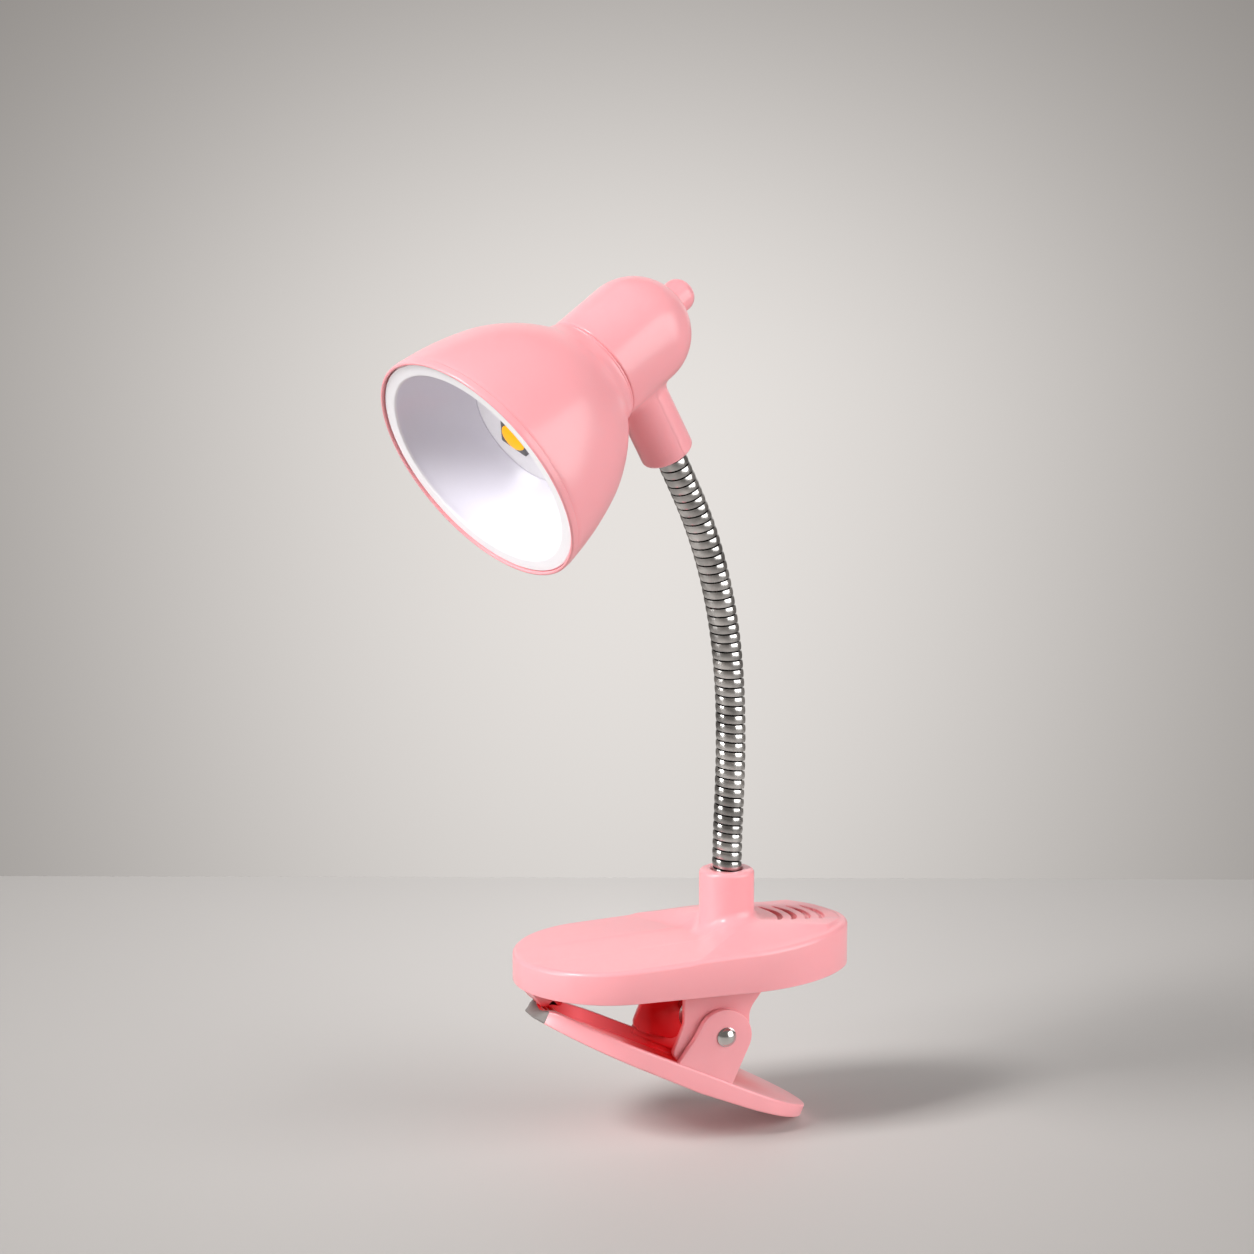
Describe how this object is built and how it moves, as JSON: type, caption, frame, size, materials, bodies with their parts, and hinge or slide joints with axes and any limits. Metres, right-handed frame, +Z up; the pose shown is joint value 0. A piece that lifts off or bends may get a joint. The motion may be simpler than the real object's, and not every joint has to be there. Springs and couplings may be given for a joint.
{
  "type": "clip-on reading lamp",
  "caption": "Small clip-on reading lamp: a bell shade with a battery housing on a bendable steel neck, held by a sprung clip.",
  "frame": {"origin": "the middle of the line where the closed jaws grip", "axes": "+Z up along the neck's tower, -X out of the clip's mouth, +Y the clip's left seen from its levers"},
  "size_m": [0.1076, 0.0705, 0.1881],
  "materials": {
    "pink_plastic": "smooth, glossy",
    "chrome": "polished",
    "spring_steel": "drawn wire",
    "neck_steel": "nickel plated, polished bands",
    "ferrule_steel": "crimped, bright",
    "plated_steel": "zinc plated",
    "grey_rubber": "moulded, satin",
    "white_plastic": "smooth, glossy",
    "board_white": "solder-mask white",
    "package_plastic": "moulded",
    "phosphor": "silicone gel",
    "lead_copper": "tinned wire",
    "contact_brass": "stamped",
    "cell_steel": "stainless can",
    "black_plastic": "moulded"
  },
  "bodies": {
    "clip": {"upper_lever": "pink_plastic", "hinge_pin": "chrome", "torsion_spring": "spring_steel", "neck_base": "neck_steel", "lower_ferrule": "ferrule_steel", "neck_retainer": "plated_steel", "retainer_screws": "plated_steel"},
    "jaw": {"lower_lever": "pink_plastic", "jaw_tip_shoe": "grey_rubber"},
    "link_1": {"neck_link_1": "neck_steel"},
    "link_2": {"neck_link_2": "neck_steel"},
    "link_3": {"neck_link_3": "neck_steel"},
    "link_4": {"neck_link_4": "neck_steel"},
    "link_5": {"neck_link_5": "neck_steel"},
    "link_6": {"neck_link_6": "neck_steel"},
    "link_7": {"neck_link_7": "neck_steel"},
    "head": {"neck_top": "neck_steel", "upper_ferrule": "ferrule_steel", "head_housing": "pink_plastic", "shade_shell": "pink_plastic", "seal_ring": "pink_plastic", "reflector": "white_plastic", "led_board": "board_white", "led_package": "package_plastic", "led_emitter": "phosphor", "led_leads": "lead_copper", "front_contact": "contact_brass", "contact_spring": "spring_steel", "button_cell_1": "cell_steel", "button_cell_2": "cell_steel", "button_cell_3": "cell_steel", "cell_tube": "black_plastic", "rear_contact": "contact_brass", "switch_body": "black_plastic"},
    "switch": {"switch_button": "pink_plastic"}
  },
  "joints": [
    {"name": "neck_bend_1", "type": "hinge", "parent": "clip", "child": "link_1", "pos_m": [0.043, 0, 0.0306], "axis": [0.3811, -0.9245, 0], "range_deg": [-20, 15]},
    {"name": "neck_side_1", "type": "hinge", "parent": "link_1", "child": "link_2", "pos_m": [0.04359, 0.00024, 0.04282], "axis": [-0.9242, -0.3809, 0.0262], "range_deg": [-18, 18]},
    {"name": "neck_bend_2", "type": "hinge", "parent": "link_2", "child": "link_3", "pos_m": [0.04389, 0.00037, 0.05506], "axis": [0.3811, -0.9245, 0], "range_deg": [-20, 15]},
    {"name": "neck_side_2", "type": "hinge", "parent": "link_3", "child": "link_4", "pos_m": [0.0434, 0.00016, 0.06729], "axis": [-0.9155, -0.3774, -0.1392], "range_deg": [-18, 18]},
    {"name": "neck_bend_3", "type": "hinge", "parent": "link_4", "child": "link_5", "pos_m": [0.04182, -0.00049, 0.07941], "axis": [0.3811, -0.9245, 0], "range_deg": [-20, 15]},
    {"name": "neck_side_3", "type": "hinge", "parent": "link_5", "child": "link_6", "pos_m": [0.03899, -0.00165, 0.09126], "axis": [-0.8602, -0.3546, -0.3665], "range_deg": [-18, 18]},
    {"name": "neck_bend_4", "type": "hinge", "parent": "link_6", "child": "link_7", "pos_m": [0.03484, -0.00336, 0.10265], "axis": [0.3811, -0.9245, 0], "range_deg": [-20, 15]},
    {"name": "neck_side_4", "type": "hinge", "parent": "link_7", "child": "head", "pos_m": [0.02935, -0.00562, 0.11335], "axis": [-0.7849, -0.3235, -0.5284], "range_deg": [-18, 18]},
    {"name": "jaw_open", "type": "hinge", "parent": "clip", "child": "jaw", "pos_m": [0.0373, 0, -0.0075], "axis": [0, -1, 0], "range_deg": [0, 40], "stiffness_Nm_per_rad": 0.3, "springref_deg": -45.84, "deforming": ["torsion_spring"]},
    {"name": "switch_press", "type": "slide", "parent": "head", "child": "switch", "axis": [-0.805, -0.2714, -0.5276], "range_m": [0, 0.0015], "stiffness_N_per_m": 400, "springref_m": -0.002}
  ],
  "couplings": [
    {"joint": "neck_bend_2", "follows": "neck_bend_1", "ratio": 1},
    {"joint": "neck_bend_3", "follows": "neck_bend_1", "ratio": 1},
    {"joint": "neck_bend_4", "follows": "neck_bend_1", "ratio": 1},
    {"joint": "neck_side_2", "follows": "neck_side_1", "ratio": 1},
    {"joint": "neck_side_3", "follows": "neck_side_1", "ratio": 1},
    {"joint": "neck_side_4", "follows": "neck_side_1", "ratio": 1}
  ]
}
